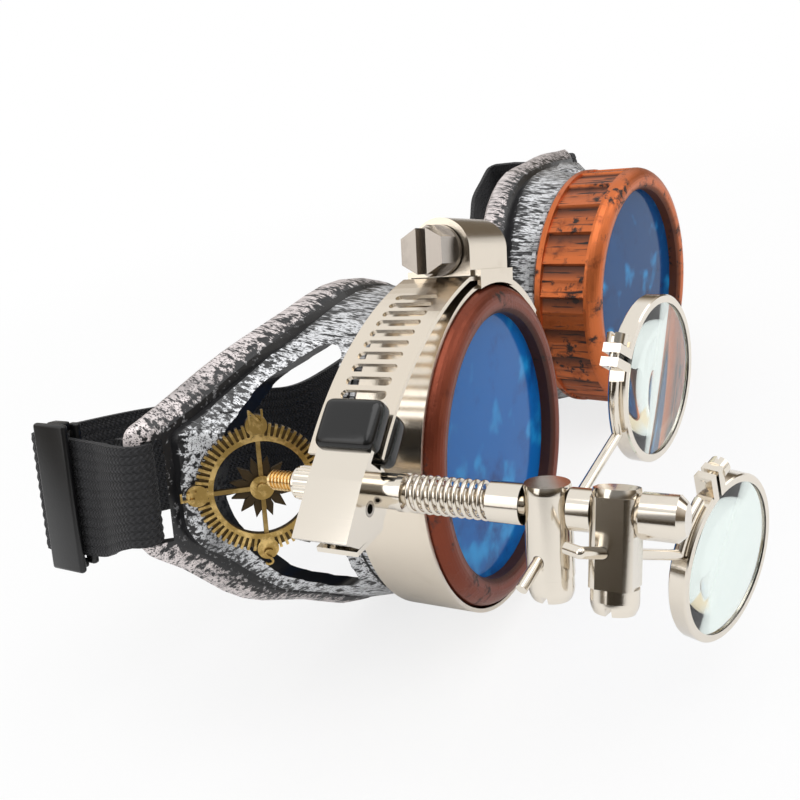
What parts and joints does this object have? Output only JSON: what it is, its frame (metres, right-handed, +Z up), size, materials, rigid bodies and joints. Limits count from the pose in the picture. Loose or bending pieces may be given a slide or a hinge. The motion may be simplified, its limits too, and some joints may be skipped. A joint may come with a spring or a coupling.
{
  "type": "steampunk goggles",
  "caption": "Round-cup costume goggles with ribbed copper rings, blue lenses, a hose clamp round one ring and a sprung clip-on double loupe on its free tail.",
  "frame": {"origin": "midway between the centres of the two rings' front planes", "axes": "the goggles look along -Y, +Z is up, +X is the wearer's left"},
  "size_m": [0.1925, 0.1078, 0.0747],
  "materials": {
    "cup_plastic": "black, dry-brushed with silver",
    "copper": "copper colour, weathered dark in the recesses",
    "blue_lens": "clear blue, polished",
    "soft_rubber": "matt black",
    "clamp_steel": "satin",
    "nickel": "bright nickel plate",
    "loupe_glass": "clear, faintly green at the edge",
    "antique_brass": "antique, dark in the flutes",
    "elastic": "black woven elastic",
    "black_plastic": "black, slightly glossy"
  },
  "bodies": {
    "right_side": {"right_cup": "cup_plastic", "right_lens": "blue_lens", "right_gasket": "soft_rubber", "compass": "antique_brass", "strap": "elastic", "nose_bridge": "soft_rubber", "right_stud": "nickel"},
    "left_side": {"left_cup": "cup_plastic", "left_lens": "blue_lens", "left_gasket": "soft_rubber", "left_stud": "nickel"},
    "right_ring": {"right_ring": "copper"},
    "left_ring": {"left_ring": "copper"},
    "clamp": {"clamp_band": "clamp_steel", "clamp_housing": "clamp_steel", "clip_inner_lever": "nickel", "inner_jaw_sleeve": "soft_rubber", "clip_pin": "nickel", "clip_spring": "nickel"},
    "worm": {"worm_screw": "clamp_steel"},
    "loupe": {"clip_outer_lever": "nickel", "outer_jaw_sleeve": "soft_rubber", "loupe_rod": "nickel", "rod_collar": "nickel", "rod_spring": "nickel", "rear_sleeve": "nickel", "front_sleeve": "nickel", "end_cap": "nickel"},
    "nut": {"knurled_nut": "nickel"},
    "rear_post": {"rear_block": "nickel"},
    "front_post": {"front_block": "nickel"},
    "rear_screw": {"rear_block_screw": "nickel"},
    "front_screw": {"front_block_screw": "nickel"},
    "rear_lens": {"rear_arm": "nickel", "rear_rim": "nickel", "rear_loupe_lens": "loupe_glass", "rear_rim_screw": "nickel"},
    "front_lens": {"front_arm": "nickel", "front_rim": "nickel", "front_loupe_lens": "loupe_glass", "front_rim_screw": "nickel"},
    "slider": {"strap_slider": "black_plastic"}
  },
  "joints": [
    {"name": "bridge_flex", "type": "hinge", "parent": "right_side", "child": "left_side", "pos_m": [0, 0.02289, 0], "axis": [0, 0, 1], "range_deg": [-8, 20], "stiffness_Nm_per_rad": 0.02, "deforming": ["nose_bridge", "strap"]},
    {"name": "right_ring_turn", "type": "hinge", "parent": "right_side", "child": "right_ring", "pos_m": [-0.04, 0, 0], "axis": [0.0698, -0.9976, 0], "range_deg": [-45, 60]},
    {"name": "left_ring_turn", "type": "hinge", "parent": "left_side", "child": "left_ring", "pos_m": [0.04, 0, 0], "axis": [-0.0698, -0.9976, 0], "continuous": true},
    {"name": "clamp_turn", "type": "hinge", "parent": "right_ring", "child": "clamp", "pos_m": [-0.04, 0, 0], "axis": [0.0698, -0.9976, 0], "range_deg": [-30, 30]},
    {"name": "worm_turn", "type": "hinge", "parent": "clamp", "child": "worm", "pos_m": [-0.02966, 0.00809, 0.03348], "axis": [0.9487, 0.0663, -0.309], "continuous": true},
    {"name": "clip_open", "type": "hinge", "parent": "clamp", "child": "loupe", "pos_m": [-0.08207, -0.00294, 0.01369], "axis": [0.0698, -0.9976, 0], "range_deg": [0, 20], "stiffness_Nm_per_rad": 0.3, "springref_deg": -28.65, "deforming": ["clip_spring"]},
    {"name": "nut_turn", "type": "hinge", "parent": "loupe", "child": "nut", "pos_m": [-0.07931, 0.01028, 0.01445], "axis": [-0.0698, 0.9976, 0], "continuous": true},
    {"name": "rear_swing", "type": "hinge", "parent": "loupe", "child": "rear_post", "pos_m": [-0.07677, -0.02603, 0.01445], "axis": [0.0698, -0.9976, 0], "range_deg": [-90, 90]},
    {"name": "front_swing", "type": "hinge", "parent": "loupe", "child": "front_post", "pos_m": [-0.07616, -0.03481, 0.01445], "axis": [0.0698, -0.9976, 0], "range_deg": [-90, 90]},
    {"name": "rear_screw_turn", "type": "hinge", "parent": "rear_post", "child": "rear_screw", "pos_m": [-0.07677, -0.02603, 0.01445], "axis": [-0.2582, -0.0181, -0.9659], "continuous": true},
    {"name": "front_screw_turn", "type": "hinge", "parent": "front_post", "child": "front_screw", "pos_m": [-0.07616, -0.03481, 0.01445], "axis": [-0.4216, -0.0295, -0.9063], "continuous": true},
    {"name": "rear_arm_slide", "type": "slide", "parent": "rear_post", "child": "rear_lens", "axis": [0.9747, -0.0939, 0.2028], "range_m": [-0.003, 0.003]},
    {"name": "front_arm_slide", "type": "slide", "parent": "front_post", "child": "front_lens", "axis": [0.811, -0.2022, -0.549], "range_m": [-0.003, 0.003]},
    {"name": "strap_slide", "type": "slide", "parent": "right_side", "child": "slider", "axis": [-0.0386, 0.9992, -0.009], "range_m": [-0.004, 0]}
  ]
}
